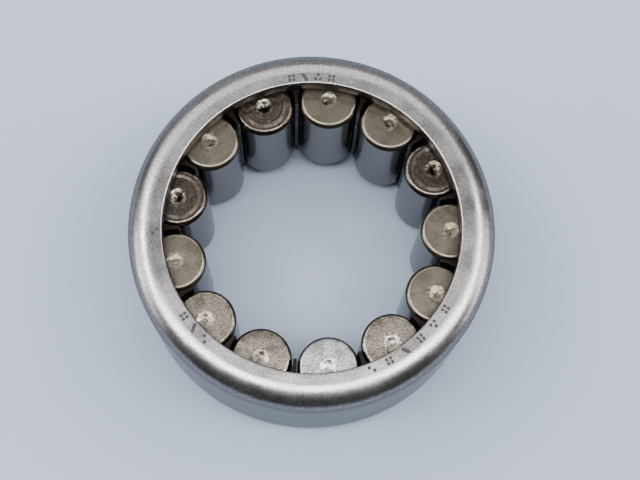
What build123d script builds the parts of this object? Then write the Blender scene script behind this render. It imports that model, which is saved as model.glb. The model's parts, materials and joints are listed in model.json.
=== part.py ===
from build123d import *
from math import asin, cos, pi, radians, sin
import os

# Caged roller bearing with no inner ring, in millimetres.
# A thick drawn steel cup has a lip turned in at each end. A cage and one row of short
# rollers run inside it, and the rollers run straight on a shaft.
# +Z is the bearing's axis. The origin is on it, at the lower lip's outer face.

# Cup
outer_diameter = 57.15
width = 26.67
wall = 2.0
lip_width = 5.575  # radial, from the outside of the wall to the lip's inner edge
lip_thickness = 2.3
outer_corner_radius = 2.9
inner_corner_radius = 0.9
lip_edge_radius = 0.35

# Rollers
roller_diameter = 9.525
roller_corner_radius = 0.8
dimple_diameter = 2.6
dimple_depth = 0.25
dimple_lip_radius = 0.3

# Cage
ring_thickness = 0.7
ring_setback = 0.3  # how far the ring's bore stands back from the lip's inner edge
bar_reach = 1.15  # how far a bar's tip stands inside the pitch circle
least_bar_waist = 0.25  # a bar where it is thinnest, between two rollers
bar_flare = 0.45  # how much wider a bar is than the gap, on each side, before the pockets cut it

# Clearances
race_clearance = 0.05  # roller to race, a running fit
pocket_clearance = 0.2  # roller to cage bar
end_clearance = 0.15  # lip to cage ring, and cage ring to roller end
corner_clearance = 0.15  # cage ring to the cup's inner corner

# Radii from the bearing's axis
outer_radius = outer_diameter / 2
race_radius = outer_radius - wall
lip_inner_radius = outer_radius - lip_width
roller_radius = roller_diameter / 2
pitch_radius = race_radius - race_clearance - roller_radius
ring_outer_radius = race_radius - inner_corner_radius - corner_clearance
ring_inner_radius = lip_inner_radius + ring_setback
bar_tip_radius = pitch_radius - bar_reach

# Heights from the lower lip's outer face
ring_height = lip_thickness + end_clearance
roller_height = ring_height + ring_thickness + end_clearance
cage_length = width - 2 * ring_height
roller_length = width - 2 * roller_height

# The row is full: as many rollers as leave room for a bar between neighbours.
least_pitch = roller_diameter + 2 * pocket_clearance + least_bar_waist
roller_count = int(pi / asin(least_pitch / (2 * pitch_radius)))
roller_step = 360 / roller_count
roller_gap = 2 * pitch_radius * sin(pi / roller_count) - roller_diameter
bar_width = roller_gap + 2 * bar_flare


def make_outer_cup():
    """The drawn cup: a wall with a hardened race inside and a flat lip at each end."""
    inside_height = width - 2 * lip_thickness
    with BuildPart() as outer_cup:
        with BuildSketch(Plane.XZ) as section:
            with Locations((lip_inner_radius, 0)):
                Rectangle(lip_width, width, align=Align.MIN)
            fillet(section.vertices().group_by(Axis.X)[-1], outer_corner_radius)
            with Locations((lip_inner_radius, lip_thickness)):
                Rectangle(
                    race_radius - lip_inner_radius, inside_height, align=Align.MIN, mode=Mode.SUBTRACT
                )
            inner_corners = section.vertices().filter_by_position(
                Axis.X, race_radius - inner_corner_radius, race_radius + inner_corner_radius
            )
            inner_corners = inner_corners.filter_by_position(
                Axis.Y, lip_thickness, width - lip_thickness
            )
            fillet(inner_corners, inner_corner_radius)
            fillet(section.vertices().group_by(Axis.X)[0], lip_edge_radius)
        revolve(axis=Axis.Z)
    outer_cup.part.label = "outer_cup"
    return outer_cup.part


def make_cage():
    """The cage: an end ring under each lip, joined by a waisted bar in each roller gap."""
    bar_length = ring_outer_radius - bar_tip_radius
    half_step = roller_step / 2
    with BuildPart() as cage:
        for height in (ring_height, width - ring_height - ring_thickness):
            with BuildSketch(Plane.XY.offset(height)):
                Circle(ring_outer_radius)
                Circle(ring_inner_radius, mode=Mode.SUBTRACT)
            extrude(amount=ring_thickness)
        with BuildSketch(Plane.XY.offset(ring_height)):
            with PolarLocations(bar_tip_radius, roller_count, start_angle=half_step):
                Rectangle(bar_length, bar_width, align=(Align.MIN, Align.CENTER))
            with PolarLocations(pitch_radius, roller_count):
                Circle(roller_radius + pocket_clearance, mode=Mode.SUBTRACT)
        extrude(amount=cage_length)
    cage.part.label = "cage"
    return cage.part


def make_roller(number):
    """One short cylindrical roller, with rounded corners and a round dimple in each end."""
    turn = radians(roller_step * (number - 1))
    outward = Vector(cos(turn), sin(turn), 0)
    foot = outward * pitch_radius + Vector(0, 0, roller_height)
    section_plane = Plane(origin=foot, x_dir=outward, z_dir=outward.cross(Vector(0, 0, 1)))
    dimple_radius = dimple_diameter / 2
    ball_radius = (dimple_radius**2 + dimple_depth**2) / (2 * dimple_depth)
    ball_offset = ball_radius - dimple_depth
    with BuildPart() as roller:
        with BuildSketch(section_plane) as section:
            Rectangle(roller_radius, roller_length, align=Align.MIN)
            fillet(section.vertices().group_by(Axis.X)[-1], roller_corner_radius)
            with Locations((0, -ball_offset), (0, roller_length + ball_offset)):
                Circle(ball_radius, mode=Mode.SUBTRACT)
            dimple_rims = section.vertices().group_by(Axis.X)[1]
            fillet(dimple_rims, dimple_lip_radius)
        revolve(axis=Axis(origin=foot, direction=(0, 0, 1)))
    roller.part.label = f"roller_{number:02d}"
    return roller.part


os.makedirs("parts", exist_ok=True)
pieces = [make_outer_cup(), make_cage()]
for number in range(1, roller_count + 1):
    pieces.append(make_roller(number))
for piece in pieces:
    export_step(piece, f"parts/{piece.label}.step")
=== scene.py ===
"""Visible pieces, finishes, light and camera for a caged roller bearing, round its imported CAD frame."""

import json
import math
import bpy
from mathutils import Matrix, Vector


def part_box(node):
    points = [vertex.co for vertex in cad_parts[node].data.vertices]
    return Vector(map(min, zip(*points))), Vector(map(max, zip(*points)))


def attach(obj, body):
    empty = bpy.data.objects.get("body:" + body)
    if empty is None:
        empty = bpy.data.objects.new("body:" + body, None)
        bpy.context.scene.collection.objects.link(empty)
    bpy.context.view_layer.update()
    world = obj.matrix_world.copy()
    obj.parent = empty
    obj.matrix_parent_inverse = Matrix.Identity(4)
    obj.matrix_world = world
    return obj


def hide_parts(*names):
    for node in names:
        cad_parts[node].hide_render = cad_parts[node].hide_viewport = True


bl_info = {
    "name": "Caged roller bearing",
    "version": (1, 0, 0),
    "blender": (4, 5, 0),
    "location": "3D View > Sidebar > Bearing",
    "description": "Builds a drawn-cup roller bearing's visible pieces, finishes, light and camera",
    "category": "Object",
}

import bmesh
import bpy
import numpy as np
from bpy.props import FloatProperty, FloatVectorProperty, IntProperty, PointerProperty
from mathutils import Quaternion, Vector, noise

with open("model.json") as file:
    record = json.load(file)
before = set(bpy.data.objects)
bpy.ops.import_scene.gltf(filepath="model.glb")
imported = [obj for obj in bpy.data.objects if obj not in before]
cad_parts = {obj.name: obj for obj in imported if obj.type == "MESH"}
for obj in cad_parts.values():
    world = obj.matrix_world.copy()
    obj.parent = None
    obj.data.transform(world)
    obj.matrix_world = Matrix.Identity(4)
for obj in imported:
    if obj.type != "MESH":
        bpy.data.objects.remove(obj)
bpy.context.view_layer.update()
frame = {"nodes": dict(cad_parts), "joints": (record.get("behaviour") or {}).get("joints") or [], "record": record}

MM = 0.001
MOUNTS = {m["name"]: m for m in frame["record"]["mounts"]}
HINGES = {j["child"]: j for j in frame["joints"]}
ROLLERS = sorted(node for node in frame["nodes"] if node.startswith("roller_"))
ROLLER_LOW, ROLLER_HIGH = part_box(ROLLERS[0])
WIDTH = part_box("outer_cup")[1].z
OUTER_RADIUS = MOUNTS["outer_diameter"]["dims"]["r_mm"] * MM
STRAIGHT_WALL = MOUNTS["outer_diameter"]["dims"]["length_mm"] * MM
ROLLER_RADIUS = (ROLLER_HIGH.y - ROLLER_LOW.y) / 2
TOUCHING = 0.0001 * MM  # two points closer than this are the same point


# Helpers


def linear(hex_colour):
    """An sRGB hex colour as linear red, green and blue."""
    parts = [int(hex_colour[i : i + 2], 16) / 255 for i in (1, 3, 5)]
    return tuple(c / 12.92 if c <= 0.04045 else ((c + 0.055) / 1.055) ** 2.4 for c in parts)


def rounded_loop(corners, steps=10):
    """A closed outline of square corners, each (x, y, back, ahead), rounded over its reaches both ways."""
    outline = []
    for before, corner, after in zip(corners[-1:] + corners[:-1], corners, corners[1:] + corners[:1]):
        x, y, back, ahead = corner
        if not back:
            outline.append((x, y))
            continue
        to_back = (Vector(before[:2]) - Vector((x, y))).normalized() * back
        to_ahead = (Vector(after[:2]) - Vector((x, y))).normalized() * ahead
        for step in range(steps + 1):
            turn = math.pi / 2 * step / steps
            shift = to_back * (1 - math.sin(turn)) + to_ahead * (1 - math.cos(turn))
            outline.append((x + shift.x, y + shift.y))
    return outline


def lathe(name, outline, angles, ring_slots, centre=(0, 0)):
    """A smooth turned mesh: the outline's (radius, height) points at each angle round a vertical axis.

    ring_slots gives the material of each ring of faces, from one outline point to the next. A closed
    outline has as many rings as points. One whose ends lie on the axis has one less.
    """
    rings = np.array(outline)
    segments = len(angles)
    x = centre[0] + rings[:, :1] * np.cos(angles)
    y = centre[1] + rings[:, :1] * np.sin(angles)
    z = np.repeat(rings[:, 1:], segments, axis=1)
    points = np.stack([x, y, z], axis=-1).reshape(-1, 3)
    faces = []
    for ring in range(len(ring_slots)):
        low = ring * segments
        high = (ring + 1) % len(outline) * segments
        for i in range(segments):
            j = (i + 1) % segments
            faces.append((low + i, low + j, high + j, high + i))
    mesh = bpy.data.meshes.new(name)
    mesh.from_pydata(points.tolist(), [], faces)
    mesh.polygons.foreach_set("material_index", [slot for slot in ring_slots for _ in range(segments)])
    if len(ring_slots) < len(outline):
        weld_poles(mesh)
    mesh.polygons.foreach_set("use_smooth", [True] * len(mesh.polygons))
    mesh.update()
    piece = bpy.data.objects.new(name, mesh)
    bpy.context.scene.collection.objects.link(piece)
    return piece


def weld_poles(mesh):
    """Joins each end ring of no radius into one point, and turns the faces outward."""
    shape = bmesh.new()
    shape.from_mesh(mesh)
    bmesh.ops.remove_doubles(shape, verts=shape.verts, dist=TOUCHING)
    bmesh.ops.recalc_face_normals(shape, faces=shape.faces)
    shape.to_mesh(mesh)
    shape.free()


def smooth_step(start, end, value):
    """0 up to start and 1 from end on, with a smooth rise between them."""
    share = min(max((value - start) / (end - start), 0), 1)
    return share * share * (3 - 2 * share)


# Finishes

NOISE_SPAN = {"From Min": 0.35, "From Max": 0.65}  # where nearly all of a noise's values lie
GRAZING_SHADE_BLUE = 1.04  # how much bluer than red the painted shade is that dims the steel at a grazing angle


def add_node(tree, kind, inputs=None, **settings):
    """Adds a node with its settings. An input given as a socket is linked, and any other is set."""
    made = tree.nodes.new(kind)
    for key, value in settings.items():
        setattr(made, key, value)
    for key, value in (inputs or {}).items():
        if isinstance(value, bpy.types.NodeSocket):
            tree.links.new(value, made.inputs[key])
        else:
            made.inputs[key].default_value = value
    return made


def new_finish(name):
    """An empty material: its tree, its shader and the place on the piece in metres."""
    material = bpy.data.materials.new(name)
    material.use_nodes = True
    tree = material.node_tree
    tree.nodes.clear()
    shader = add_node(tree, "ShaderNodeBsdfPrincipled")
    add_node(tree, "ShaderNodeOutputMaterial", {"Surface": shader.outputs["BSDF"]})
    place = add_node(tree, "ShaderNodeTexCoord").outputs["Object"]
    return material, tree, shader, place


def tumbled_steel(colour, shade, fleck, grazing):
    """Hardened strip steel, tumbled in stones after the cup was drawn.

    It is dimmed to a brightness of grazing where it is seen at a grazing angle: painted shade, for the shadowed
    floor that it mirrors there.
    """
    # The eye sees a satin grey, mottled and flecked, whose highlights are broad and soft.
    material, tree, shader, place = new_finish("tumbled_bearing_steel")
    # Real stone marks are about 0.05 mm across. They are drawn six or seven times as coarse, to show.
    mottle = add_node(
        tree, "ShaderNodeTexNoise", {"Vector": place, "Scale": 1 / (0.35 * MM), "Detail": 3.0}
    ).outputs["Fac"]
    patchy = add_node(tree, "ShaderNodeMapRange", {"Value": mottle, **NOISE_SPAN}).outputs["Result"]
    mottled = add_node(
        tree, "ShaderNodeMix", {"Factor": patchy, "A": (*colour, 1), "B": (*shade, 1)}, data_type="RGBA"
    ).outputs["Result"]
    nicks = add_node(
        tree, "ShaderNodeTexNoise", {"Vector": place, "Scale": 1 / (0.3 * MM), "Detail": 1.0}
    ).outputs["Fac"]
    # Only the noise's few highest spots are flecks.
    bright = add_node(
        tree, "ShaderNodeMapRange", {"Value": nicks, "From Min": 0.66, "From Max": 0.76}
    ).outputs["Result"]
    flecked = add_node(
        tree, "ShaderNodeMix", {"Factor": bright, "A": mottled, "B": (*fleck, 1)}, data_type="RGBA"
    ).outputs["Result"]
    # Handling leaves patches of oil about 5 mm across, which are a little glossier.
    handled = add_node(
        tree, "ShaderNodeTexNoise", {"Vector": place, "Scale": 1 / (5 * MM), "Detail": 2.0}
    ).outputs["Fac"]
    roughness = add_node(
        tree, "ShaderNodeMapRange", {"Value": handled, **NOISE_SPAN, "To Min": 0.235, "To Max": 0.315}
    ).outputs["Result"]
    relief = add_node(tree, "ShaderNodeBump", {"Height": mottle, "Distance": 0.003 * MM})
    tree.links.new(flecked, shader.inputs["Base Color"])
    tree.links.new(roughness, shader.inputs["Roughness"])
    tree.links.new(relief.outputs["Normal"], shader.inputs["Normal"])
    shader.inputs["Metallic"].default_value = 1.0
    # Painted shade: this tint dims the reflection at a grazing angle, where the steel mirrors the shadowed floor.
    shader.inputs["Specular Tint"].default_value = (grazing, grazing, grazing * GRAZING_SHADE_BLUE, 1)
    return material


def ground_steel(name, colour, grazing):
    """Bearing steel ground on a cylinder, dimmed at a grazing angle in the same way: painted shade, for the
    shadowed floor that it mirrors there.
    """
    # The eye sees a clear, slightly smeared mirror with very fine lines round the axis.
    material, tree, shader, place = new_finish(name)
    # Real grinding lines are about 0.02 mm apart. They are drawn six times as coarse, to show, and
    # fifty times as long as they are wide.
    stretched = add_node(
        tree, "ShaderNodeMapping", {"Vector": place, "Scale": (1 / 50, 1 / 50, 1.0)}
    ).outputs["Vector"]
    lines = add_node(
        tree, "ShaderNodeTexNoise", {"Vector": stretched, "Scale": 1 / (0.12 * MM), "Detail": 3.0}
    ).outputs["Fac"]
    roughness = add_node(
        tree, "ShaderNodeMapRange", {"Value": lines, **NOISE_SPAN, "To Min": 0.12, "To Max": 0.22}
    ).outputs["Result"]
    relief = add_node(tree, "ShaderNodeBump", {"Height": lines, "Distance": 0.001 * MM})
    tree.links.new(roughness, shader.inputs["Roughness"])
    tree.links.new(relief.outputs["Normal"], shader.inputs["Normal"])
    shader.inputs["Base Color"].default_value = (*colour, 1)
    shader.inputs["Metallic"].default_value = 1.0
    # Painted shade: this tint dims the reflection at a grazing angle, where the steel mirrors the shadowed floor.
    shader.inputs["Specular Tint"].default_value = (grazing, grazing, grazing * GRAZING_SHADE_BLUE, 1)
    return material


def oiled_steel(name, colour, stain):
    """Bare strip steel, browned by old oil; the colours it is given are darker still, as painted shade."""
    # The eye sees a dark, uneven brown with only dull highlights.
    material, tree, shader, place = new_finish(name)
    # The oil gathers in patches about 2 mm across.
    film = add_node(
        tree, "ShaderNodeTexNoise", {"Vector": place, "Scale": 1 / (2 * MM), "Detail": 3.0}
    ).outputs["Fac"]
    thick = add_node(tree, "ShaderNodeMapRange", {"Value": film, **NOISE_SPAN}).outputs["Result"]
    stained = add_node(
        tree, "ShaderNodeMix", {"Factor": thick, "A": (*colour, 1), "B": (*stain, 1)}, data_type="RGBA"
    ).outputs["Result"]
    roughness = add_node(
        tree, "ShaderNodeMapRange", {"Value": film, **NOISE_SPAN, "To Min": 0.3, "To Max": 0.5}
    ).outputs["Result"]
    tree.links.new(stained, shader.inputs["Base Color"])
    tree.links.new(roughness, shader.inputs["Roughness"])
    shader.inputs["Metallic"].default_value = 1.0
    return material


def punched_steel(colour):
    """Steel in the punched marks, filled with dried oil and dirt."""
    # The eye sees matt spots that stay dark beside a bright flat.
    material, tree, shader, place = new_finish("oil_filled_punch_marks")
    # Grains of dirt are about 0.1 mm across.
    dirt = add_node(
        tree, "ShaderNodeTexNoise", {"Vector": place, "Scale": 1 / (0.1 * MM), "Detail": 3.0}
    ).outputs["Fac"]
    roughness = add_node(
        tree, "ShaderNodeMapRange", {"Value": dirt, **NOISE_SPAN, "To Min": 0.65, "To Max": 0.75}
    ).outputs["Result"]
    tree.links.new(roughness, shader.inputs["Roughness"])
    shader.inputs["Base Color"].default_value = (*colour, 1)
    shader.inputs["Metallic"].default_value = 0.3
    return material


def roller_end_steel(name, colour, stain, roughness, grit, depth):
    """A headed roller's end under an oil film, with grit of a given size and depth in metres."""
    # The eye sees bronze-grey steel, plain or grainy, and cloudy where the film is thicker.
    material, tree, shader, place = new_finish(name)
    # Real grit is under 0.1 mm across. It is drawn two to five times as coarse, to show.
    grains = add_node(
        tree, "ShaderNodeTexNoise", {"Vector": place, "Scale": 1 / grit, "Detail": 3.0}
    ).outputs["Fac"]
    # The oil gathers in patches about 2.2 mm across.
    film = add_node(
        tree, "ShaderNodeTexNoise", {"Vector": place, "Scale": 1 / (2.2 * MM), "Detail": 4.0}
    ).outputs["Fac"]
    # Where grains and film are both high, their sum passes 1 and the stain shows.
    both = add_node(tree, "ShaderNodeMath", {0: grains, 1: film}, operation="ADD").outputs["Value"]
    dirty = add_node(
        tree, "ShaderNodeMapRange", {"Value": both, "From Min": 0.85, "From Max": 1.15}
    ).outputs["Result"]
    stained = add_node(
        tree, "ShaderNodeMix", {"Factor": dirty, "A": (*colour, 1), "B": (*stain, 1)}, data_type="RGBA"
    ).outputs["Result"]
    smeared = {"Value": film, **NOISE_SPAN, "To Min": roughness - 0.04, "To Max": roughness + 0.05}
    sheen = add_node(tree, "ShaderNodeMapRange", smeared).outputs["Result"]
    relief = add_node(tree, "ShaderNodeBump", {"Height": grains, "Distance": depth})
    tree.links.new(stained, shader.inputs["Base Color"])
    tree.links.new(sheen, shader.inputs["Roughness"])
    tree.links.new(relief.outputs["Normal"], shader.inputs["Normal"])
    shader.inputs["Metallic"].default_value = 1.0
    return material


def pale_board(colour):
    """Painted fibre board under the bearing."""
    # The eye sees a plain, matt surface with no highlights of its own.
    material, tree, shader, place = new_finish("matt_painted_board")
    # Fibres show under the paint about 0.8 mm apart.
    fibre = add_node(
        tree, "ShaderNodeTexNoise", {"Vector": place, "Scale": 1 / (0.8 * MM), "Detail": 3.0}
    ).outputs["Fac"]
    relief = add_node(tree, "ShaderNodeBump", {"Height": fibre, "Distance": 0.01 * MM})
    tree.links.new(relief.outputs["Normal"], shader.inputs["Normal"])
    shader.inputs["Base Color"].default_value = (*colour, 1)
    shader.inputs["Roughness"].default_value = 0.9
    shader.inputs["Specular IOR Level"].default_value = 0.15
    return material


# Sizes and colours that can be changed


def length_setting(label, tip, default):
    """A length in metres that shows as a distance."""
    return FloatProperty(name=label, description=tip, default=default, min=0.0, unit="LENGTH", precision=5)


def colour_setting(label, tip, default):
    """A colour whose default is an sRGB hex value."""
    return FloatVectorProperty(
        name=label, description=tip, subtype="COLOR", size=3, min=0.0, max=1.0, default=linear(default)
    )


class CupSettings(bpy.types.PropertyGroup):
    """The drawn cup's sizes and colours."""

    lip_radius: length_setting("Lip bore radius", "From the axis to a lip's inner edge", 23.0 * MM)
    lip_thickness: length_setting("Lip thickness", "Thickness of each turned-in lip", 2.3 * MM)
    wall: length_setting("Wall", "Thickness of the cup's wall", 2.0 * MM)
    corner_reach: length_setting("Corner reach", "How far in the outer corner's rounding starts", 3.7 * MM)
    inner_corner: length_setting("Inner corner", "Radius where lip and race meet", 0.9 * MM)
    lip_edge: length_setting("Lip edge", "Radius of the lip's inner edges", 0.35 * MM)
    mark_depth: length_setting("Mark depth", "How deep the batch marks are punched", 0.09 * MM)
    steel: colour_setting("Steel", "Tumbled steel of the lip", "#928F8E")
    shade: colour_setting("Mottling", "The darker patches of the lip", "#767372")
    fleck: colour_setting("Flecks", "Small bright flecks on the lip", "#B4B2B0")
    # The ground wall's colour is darker than clean ground steel: painted shade, for the shadowed floor close round
    # the cup that the wall mirrors.
    ground: colour_setting("Ground wall", "Ground steel outside and on the race", "#6A6968")
    # The two inside colours are darker than the old oil alone makes the steel: painted shade, for the lip's bore
    # and inner face, which mirror the shaded inside of the cup.
    inside: colour_setting("Inside", "Steel inside the lip", "#40362E")
    inside_stain_and_shade: colour_setting("Inside stain", "Old oil inside the lip", "#2E2620")
    marks: colour_setting("Marks", "Dirty steel in the punched marks", "#2B2825")


class RollerSettings(bpy.types.PropertyGroup):
    """The rollers' sizes and colours."""

    corner: length_setting("Corner radius", "Radius at each end of a roller", 0.8 * MM)
    dimple_radius: length_setting("Dimple radius", "Radius of the dimple in each end", 1.4 * MM)
    dimple_floor: length_setting("Dimple floor", "Radius of the dimple's flat bottom", 0.3 * MM)
    dimple_depth: length_setting("Dimple depth", "Depth of the dimple in a gritty or worn end", 0.25 * MM)
    smooth_depth: length_setting("Smooth dimple depth", "Depth of the dimple in a smooth end", 0.15 * MM)
    dish_radius: length_setting("Dish radius", "Radius of the wide dish in a dished end", 3.4 * MM)
    dish_depth: length_setting("Dish depth", "Depth of the wide dish in a dished end", 0.07 * MM)
    tool_pitch: length_setting("Tool pitch", "From one turning ring of a dished end to the next", 0.6 * MM)
    tool_depth: length_setting("Tool depth", "Half the height of a turning ring", 0.004 * MM)
    cone_radius: length_setting("Cone radius", "Radius of the cone in the middle of a dished end", 1.3 * MM)
    cone_depth: length_setting("Cone depth", "Depth of the cone in the middle of a dished end", 0.5 * MM)
    # Darker than clean ground steel: painted shade, for the shaded floor inside the ring that the sides mirror.
    side: colour_setting("Side", "Ground steel of the rolling side", "#86837F")
    end: colour_setting("End", "Bronze-grey steel of the ends", "#625B51")
    stain: colour_setting("Stain", "Darker oil stain on the ends", "#554F46")
    gritty: colour_setting("Gritty end", "The paler ends with coarse grit", "#79736A")
    pits: colour_setting("Pits", "Old oil in the grit's pits", "#3A342E")
    worn: colour_setting("Worn end", "The end that is worn bright", "#9A9CA0")
    worn_stain: colour_setting("Worn end's stain", "Old oil left on the bright end", "#5E5D59")
    dark: colour_setting("Dark end", "The darker dished ends", "#5A534D")
    segments: IntProperty(name="Segments", description="Sides of a turned roller", default=144, min=12)


class CageSettings(bpy.types.PropertyGroup):
    """The cage's colours and edge."""

    edge: length_setting("Edge radius", "Small radius on the cage's edges", 0.06 * MM)
    # Both cage colours are darker than oiled strip steel: painted shade, for the gaps between the rollers where
    # the cage shows.
    steel: colour_setting("Steel", "Dark strip steel", "#1C1815")
    stain: colour_setting("Stain", "Old oil on the strip", "#14110F")


class StageSettings(bpy.types.PropertyGroup):
    """The floor, the light and the camera."""

    floor_size: length_setting("Floor size", "Side of the square floor", 3.0)
    floor: colour_setting("Floor", "Plain pale board", "#8690A0")
    room: colour_setting("Room", "The dim light that fills the room", "#5A5C60")
    backdrop: colour_setting("Backdrop", "What the camera sees past the floor", "#C9CCD2")
    camera_height: length_setting("Camera height", "Height above the upper lip", 193.4 * MM)
    camera_back: length_setting("Camera back", "How far the camera stands back from the axis", 51.8 * MM)
    lens: FloatProperty(
        name="Lens", description="Focal length in millimetres", default=73.3, min=10, unit="CAMERA"
    )
    camera_roll: FloatProperty(
        name="Camera roll", description="Turn of the picture", default=math.radians(4.7), subtype="ANGLE"
    )


# Pieces


def stand_in(piece, body, node):
    """A finished piece rides on its body and stands for its CAD node."""
    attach(piece, body)
    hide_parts(node)


class MakeCup(bpy.types.Operator):
    """Builds the drawn cup with its two lips and its punched batch marks"""

    bl_idname = "bearing.make_cup"
    bl_label = "Cup"

    # each mark's punched dots and slanted chisel bars, as strokes in mm across and along the radius
    BAR = (((-0.25, -0.42), (0.25, 0.42)),)
    PAIR = (((-0.33, -0.33), (-0.33, -0.33)), ((0.33, 0.33), (0.33, 0.33)))
    TRIO = (((-0.38, -0.3), (-0.38, -0.3)), ((0.38, -0.3), (0.38, -0.3)), ((0.0, 0.38), (0.0, 0.38)))
    QUAD = (*PAIR, ((-0.33, 0.33), (-0.33, 0.33)), ((0.33, -0.33), (0.33, -0.33)))
    # degrees round the lip to each mark
    MARKS = (
        (98.0, QUAD), (93.0, BAR), (88.0, TRIO), (83.0, QUAD),
        (183.0, PAIR),
        (217.0, QUAD), (222.5, BAR), (228.0, PAIR),
        (292.0, PAIR), (299.0, QUAD), (306.0, BAR), (313.0, QUAD), (320.0, TRIO), (327.0, QUAD),
    )
    HALF_STROKE = 0.24 * MM
    STEEPNESS = 3  # a mark's wall takes a third of its half stroke
    MARKED_FROM = 0.1  # the share of a mark's depth from which its own finish shows
    TUMBLED, GROUND, INSIDE, MARKED = range(4)  # the finishes, in the order of the cup's slots
    BRIGHT_EDGE = 0.3 * MM  # how far the tumbled finish reaches round a lip's inner edge
    # Both are low: dimming at a grazing angle is painted shade, for the shadowed floor that these faces mirror.
    LIP_GRAZING, WALL_GRAZING = 0.5, 0.46  # brightness of each steel at a grazing angle
    FINE = 0.06 * MM  # from line to line of the mesh at a mark
    WIDE = 2.4 * MM  # the same along the other flats, at most
    REACH = 0.7 * MM  # half the side of the fine mesh at a mark
    CLEARANCE = 1.02  # the whole degrees' lines keep this many reaches from a mark

    def execute(self, context):
        size = context.scene.bearing_cup
        corner = (WIDTH - STRAIGHT_WALL) / 2
        race = OUTER_RADIUS - size.wall
        lip = size.lip_radius
        inner_face = WIDTH - size.lip_thickness
        edge, inner = size.lip_edge, size.inner_corner
        middle = (lip + edge + OUTER_RADIUS - size.corner_reach) / 2
        outline = rounded_loop(
            [
                (OUTER_RADIUS, 0.0, size.corner_reach, corner),
                (OUTER_RADIUS, WIDTH, corner, size.corner_reach),
                (middle + self.REACH, WIDTH, 0.0, 0.0),
                (middle - self.REACH, WIDTH, 0.0, 0.0),
                (lip, WIDTH, edge, edge),
                (lip, inner_face, edge, edge),
                (race, inner_face, inner, inner),
                (race, size.lip_thickness, inner, inner),
                (lip, size.lip_thickness, edge, edge),
                (lip, 0.0, edge, edge),
            ]
        )
        outline = self.with_fine_rings(outline, middle)
        rings = zip(outline, outline[1:] + outline[:1])
        ring_slots = [self.slot_at(start, end, race) for start, end in rings]
        piece = lathe("drawn_cup", outline, self.angles(middle), ring_slots)
        self.punch_marks(piece.data, size, middle)
        finishes = (
            tumbled_steel(size.steel, size.shade, size.fleck, self.LIP_GRAZING),
            ground_steel("ground_bearing_steel", size.ground, self.WALL_GRAZING),
            # Painted shade as well as oil: the inside finish is darkened for the shaded bore and inner face of
            # each lip.
            oiled_steel("oil_browned_and_shaded_steel", size.inside, size.inside_stain_and_shade),
            punched_steel(size.marks),
        )
        for finish in finishes:
            piece.data.materials.append(finish)
        stand_in(piece, "cup", "outer_cup")
        return {"FINISHED"}

    def with_fine_rings(self, outline, middle):
        """The outline with close rings where the marks are punched, and wide ones on its other flats."""
        points = []
        for (r0, z0), (r1, z1) in zip(outline, outline[1:] + outline[:1]):
            marked = z0 == z1 == WIDTH and abs((r0 + r1) / 2 - middle) < self.REACH / 2
            span = self.FINE if marked else self.WIDE
            count = max(1, math.ceil(math.hypot(r1 - r0, z1 - z0) / span))
            points += [(r0 + (r1 - r0) * i / count, z0 + (z1 - z0) * i / count) for i in range(count)]
        return points

    def angles(self, middle):
        """Angles round the cup: one a degree, and close together over each mark."""
        reach = self.REACH / middle
        fine = np.arange(-reach, reach, self.FINE / middle)
        whole = np.radians(np.arange(360))
        starts = [math.radians(angle) for angle, _ in self.MARKS]
        gap = reach * self.CLEARANCE
        clear = [turn for turn in whole if all(abs(turn - start) > gap for start in starts)]
        return np.sort(np.concatenate([clear] + [start + fine for start in starts]))

    def slot_at(self, start, end, race):
        """The finish of the ring of faces between two outline points."""
        radius = (start[0] + end[0]) / 2
        height = (start[1] + end[1]) / 2
        if radius > OUTER_RADIUS - TOUCHING or abs(radius - race) < TOUCHING:
            return self.GROUND
        if radius > race or min(height, WIDTH - height) < self.BRIGHT_EDGE:
            return self.TUMBLED
        return self.INSIDE

    def punch_marks(self, mesh, size, middle):
        """Presses small bars and dots into the upper lip's flat, and gives them their own finish."""
        points = np.zeros(len(mesh.vertices) * 3)
        mesh.vertices.foreach_get("co", points)
        points = points.reshape(-1, 3)
        depth = np.zeros(len(points))
        flat = points[:, 2] > WIDTH - TOUCHING
        for angle, strokes in self.MARKS:
            turn = math.radians(angle)
            along = points[:, 0] * math.cos(turn) + points[:, 1] * math.sin(turn) - middle
            across = points[:, 1] * math.cos(turn) - points[:, 0] * math.sin(turn)
            for (x0, y0), (x1, y1) in strokes:
                start = np.array([x0, y0]) * MM
                run = np.array([x1 - x0, y1 - y0]) * MM
                offset = np.stack([across, along], axis=1) - start
                share = np.clip(offset @ run / max(run @ run, TOUCHING**2), 0, 1)
                gap = np.hypot(*(offset - share[:, None] * run).T)
                pressed = np.clip(self.STEEPNESS * (1 - gap / self.HALF_STROKE), 0, 1)
                depth = np.maximum(depth, pressed)
        depth[~flat] = 0
        points[:, 2] -= size.mark_depth * depth
        mesh.vertices.foreach_set("co", points.ravel())
        for face in mesh.polygons:
            if depth[list(face.vertices)].max() > self.MARKED_FROM:
                face.material_index = self.MARKED
        self.crisp_marks(mesh)

    def crisp_marks(self, mesh):
        """Makes the marks' rims sharp, so that their shading stays off the flat round them."""
        shape = bmesh.new()
        shape.from_mesh(mesh)
        for edge in shape.edges:
            slots = {face.material_index for face in edge.link_faces}
            edge.smooth = self.MARKED not in slots or len(slots) == 1
        shape.to_mesh(mesh)
        shape.free()


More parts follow.
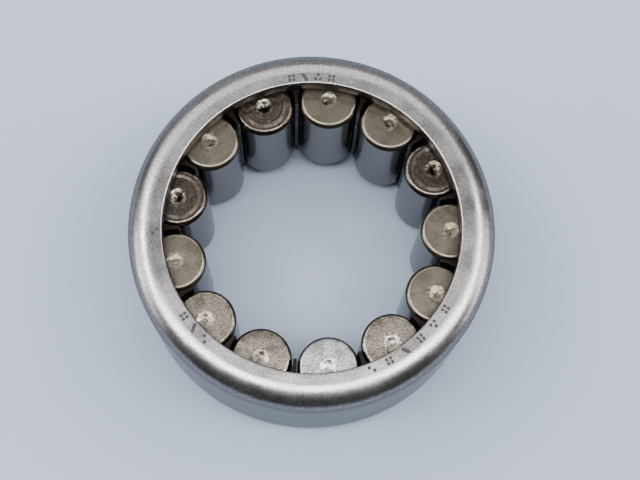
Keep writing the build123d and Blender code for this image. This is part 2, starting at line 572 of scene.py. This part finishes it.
class MakeRollers(bpy.types.Operator):
    """Builds the thirteen rollers, with smooth, gritty or dished ends"""

    bl_idname = "bearing.make_rollers"
    bl_label = "Rollers"

    # the rollers whose ends aren't smooth
    GRITTY = ("roller_09", "roller_10", "roller_12")
    WORN = ("roller_11",)
    DISHED = ("roller_02", "roller_05", "roller_07")
    # Low: dimming the side at a grazing angle is painted shade, for the shaded floor inside the ring that it
    # mirrors.
    SIDE_GRAZING = 0.68  # brightness of the rolling side at a grazing angle
    END_RINGS, CORNER_STEPS = 48, 12  # rings of faces across an end's flat and round its corner
    DISH_EDGE = 0.35 * MM  # half the width of the slope at a dish's edge
    CONE_CURVE = 1.3  # 1 is a straight cone, and more is a steeper middle
    UNEVEN_HEIGHT, UNEVEN_SPAN = 0.05 * MM, 0.6 * MM  # the lumps in a dimple and their width
    UNEVEN_FROM, UNEVEN_FULLY = 1.3, 0.8  # in dimple radii from the roller's axis

    def execute(self, context):
        size = context.scene.bearing_rollers
        side = ground_steel("ground_roller_steel", size.side, self.SIDE_GRAZING)
        ends = {
            "smooth": roller_end_steel(
                "smooth_end_steel", size.end, size.stain, roughness=0.3, grit=0.5 * MM, depth=0.002 * MM
            ),
            "gritty": roller_end_steel(
                "gritty_end_steel", size.gritty, size.pits, roughness=0.28, grit=0.2 * MM, depth=0.02 * MM
            ),
            "worn": roller_end_steel(
                "worn_end_steel", size.worn, size.worn_stain, roughness=0.3, grit=0.3 * MM, depth=0.02 * MM
            ),
            "dished": roller_end_steel(
                "dark_end_steel", size.dark, size.pits, roughness=0.24, grit=0.4 * MM, depth=0.003 * MM
            ),
        }
        angles = np.linspace(0, 2 * math.pi, size.segments, endpoint=False)
        for node in ROLLERS:
            kind = self.kind(node)
            low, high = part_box(node)
            outline, ring_slots = self.outline(size, kind, low.z, high.z)
            centre = HINGES[node]["pos_m"][:2]
            piece = lathe(f"turned_{node}", outline, angles, ring_slots, centre)
            self.hammer(piece.data, size, centre)
            piece.data.materials.append(ends[kind])
            piece.data.materials.append(side)
            stand_in(piece, node, node)
        return {"FINISHED"}

    def kind(self, node):
        """Which of the four ends a roller has."""
        for kind, nodes in (("gritty", self.GRITTY), ("worn", self.WORN), ("dished", self.DISHED)):
            if node in nodes:
                return kind
        return "smooth"

    def outline(self, size, kind, low, high):
        """The roller's (radius, height) points from end to end, and its rings' slots: 0 end, 1 side."""
        flat = ROLLER_RADIUS - size.corner
        radii = [flat * i / self.END_RINGS for i in range(self.END_RINGS)]
        end = [(radius, self.sink(size, kind, radius)) for radius in radii]
        turns = [math.pi / 2 * i / self.CORNER_STEPS for i in range(self.CORNER_STEPS + 1)]
        end += [(flat + size.corner * math.sin(a), size.corner * (1 - math.cos(a))) for a in turns]
        lower = [(radius, low + sunk) for radius, sunk in end]
        upper = [(radius, high - sunk) for radius, sunk in reversed(end)]
        end_slots = [0] * (len(end) - 1)
        return lower + upper, end_slots + [1] + end_slots

    def sink(self, size, kind, radius):
        """How far an end's surface lies under its flat rim at a radius."""
        if kind == "dished":
            step = smooth_step(size.dish_radius + self.DISH_EDGE, size.dish_radius - self.DISH_EDGE, radius)
            ripple = math.cos(2 * math.pi * radius / size.tool_pitch)
            cone = max(0, 1 - radius / size.cone_radius) ** self.CONE_CURVE
            return (size.dish_depth + size.tool_depth * ripple) * step + size.cone_depth * cone
        depth = size.smooth_depth if kind == "smooth" else size.dimple_depth
        return depth * smooth_step(size.dimple_radius, size.dimple_floor, radius)

    def hammer(self, mesh, size, centre):
        """Leaves the dimples slightly uneven, as the header's worn punch does."""
        start = self.UNEVEN_FROM * size.dimple_radius
        full = self.UNEVEN_FULLY * size.dimple_radius
        for vertex in mesh.vertices:
            x, y, z = vertex.co
            radius = math.hypot(x - centre[0], y - centre[1])
            share = smooth_step(start, full, radius)
            if share and radius > TOUCHING:
                uneven = noise.noise(vertex.co / self.UNEVEN_SPAN) * self.UNEVEN_HEIGHT * share
                vertex.co.z += uneven if z < WIDTH / 2 else -uneven


class FinishCage(bpy.types.Operator):
    """Gives the CAD cage its dark strip steel and a small radius on its edges"""

    bl_idname = "bearing.finish_cage"
    bl_label = "Cage"

    def execute(self, context):
        size = context.scene.bearing_cage
        cage = frame["nodes"]["cage"]
        # These colours paint the shade between the rollers as well as old oil on the strip.
        finish = oiled_steel("dark_strip_steel", size.steel, size.stain)
        cage.data.materials.clear()
        cage.data.materials.append(finish)
        rounded = cage.modifiers.new("edge radius", "BEVEL")
        rounded.width = size.edge
        rounded.segments = 2
        rounded.limit_method = "ANGLE"
        return {"FINISHED"}


class MakeStage(bpy.types.Operator):
    """Sets the floor, the soft light and the camera"""

    bl_idname = "bearing.make_stage"
    bl_label = "Stage"

    # each soft box's name, place and two spans in metres, and power in watts
    BOXES = (
        ("overhead", (0.0, -0.08, 0.6), (1.1, 0.15), 11.5),
        ("behind", (-0.15, 0.55, 0.7), (1.4, 0.5), 8.0),
        ("back_wall", (0.0, 1.6, 0.4), (3.0, 0.7), 4.0),
    )
    # the same for each box on the right, which has a twin on the left
    SIDE_BOXES = (
        ("side", (0.42, 0.14, 0.6), (0.26, 0.14), 2.4),
        ("far_side", (0.95, 0.05, 0.5), (0.4, 0.6), 4.0),
        ("low_side", (1.25, -0.2, 0.28), (0.5, 0.45), 2.6),
    )
    CAMERA_ASIDE = -2.6 * MM  # how far to the right of the axis the camera stands
    TARGET = (1.2 * MM, -2.5 * MM)  # what the camera looks at, in the plane of the upper lip

    def execute(self, context):
        size = context.scene.bearing_stage
        self.floor(size)
        self.lights(size)
        self.camera(context, size)
        return {"FINISHED"}

    def floor(self, size):
        """A plain board that the bearing stands on."""
        half = size.floor_size / 2
        mesh = bpy.data.meshes.new("floor")
        corners = [(-half, -half, 0), (half, -half, 0), (half, half, 0), (-half, half, 0)]
        mesh.from_pydata(corners, [], [(0, 1, 2, 3)])
        mesh.materials.append(pale_board(size.floor))
        board = bpy.data.objects.new("floor", mesh)
        bpy.context.scene.collection.objects.link(board)

    def lights(self, size):
        """A long soft box overhead, dimmer ones behind and at both sides, and a dim room."""
        for box in self.BOXES:
            self.soft_box(*box)
        for side in (-1, 1):
            for name, (x, y, z), spans, power in self.SIDE_BOXES:
                self.soft_box(name, (side * x, y, z), spans, power)
        room = bpy.data.worlds.new("room")
        room.use_nodes = True
        tree = room.node_tree
        seen = add_node(tree, "ShaderNodeLightPath").outputs["Is Camera Ray"]
        colours = {"Factor": seen, "A": (*size.room, 1), "B": (*size.backdrop, 1)}
        shown = add_node(tree, "ShaderNodeMix", colours, data_type="RGBA").outputs["Result"]
        tree.links.new(shown, tree.nodes["Background"].inputs["Color"])
        bpy.context.scene.world = room

    def soft_box(self, name, spot, spans, power):
        """A rectangular area light at a spot, aimed at the upper lip's middle and unseen itself."""
        light = bpy.data.lights.new(name, "AREA")
        light.shape = "RECTANGLE"
        light.size, light.size_y = spans
        light.energy = power
        box = bpy.data.objects.new(name, light)
        box.location = spot
        box.visible_camera = False
        aim = Vector((0, 0, WIDTH)) - Vector(spot)
        box.rotation_euler = aim.to_track_quat("-Z", "Y").to_euler()
        bpy.context.scene.collection.objects.link(box)

    def camera(self, context, size):
        """Above the near side, looking down on the upper lip."""
        data = bpy.data.cameras.new("camera")
        data.lens = size.lens
        data.clip_start = 0.01
        camera = bpy.data.objects.new("camera", data)
        camera.location = (self.CAMERA_ASIDE, -size.camera_back, WIDTH + size.camera_height)
        target = Vector((*self.TARGET, WIDTH))
        aim = (target - camera.location).to_track_quat("-Z", "Y")
        camera.rotation_euler = (aim @ Quaternion((0, 0, 1), size.camera_roll)).to_euler()
        context.scene.collection.objects.link(camera)
        context.scene.camera = camera


class BearingPanel(bpy.types.Panel):
    """Lists the bearing's pieces and their settings"""

    bl_idname = "VIEW3D_PT_bearing"
    bl_label = "Bearing"
    bl_space_type = "VIEW_3D"
    bl_region_type = "UI"
    bl_category = "Bearing"

    def draw(self, context):
        for group, operators in GROUPS:
            column = self.layout.column(align=True)
            settings = getattr(context.scene, group)
            for name in settings.bl_rna.properties.keys():
                if name not in ("rna_type", "name"):
                    column.prop(settings, name)
            for operator in operators:
                column.operator(operator.bl_idname)


GROUPS = (
    ("bearing_cup", (MakeCup,)),
    ("bearing_rollers", (MakeRollers,)),
    ("bearing_cage", (FinishCage,)),
    ("bearing_stage", (MakeStage,)),
)
SETTINGS = {
    "bearing_cup": CupSettings,
    "bearing_rollers": RollerSettings,
    "bearing_cage": CageSettings,
    "bearing_stage": StageSettings,
}
CLASSES = (*SETTINGS.values(), MakeCup, MakeRollers, FinishCage, MakeStage, BearingPanel)


def register():
    """Adds the classes and the scene's settings."""
    for cls in CLASSES:
        bpy.utils.register_class(cls)
    for name, cls in SETTINGS.items():
        setattr(bpy.types.Scene, name, PointerProperty(type=cls))


def unregister():
    """Removes the scene's settings and the classes."""
    for name in SETTINGS:
        delattr(bpy.types.Scene, name)
    for cls in reversed(CLASSES):
        bpy.utils.unregister_class(cls)


def main():
    register()
    bpy.ops.bearing.make_stage()
    bpy.ops.bearing.make_cup()
    bpy.ops.bearing.make_rollers()
    bpy.ops.bearing.finish_cage()


if __name__ == "__main__":
    main()
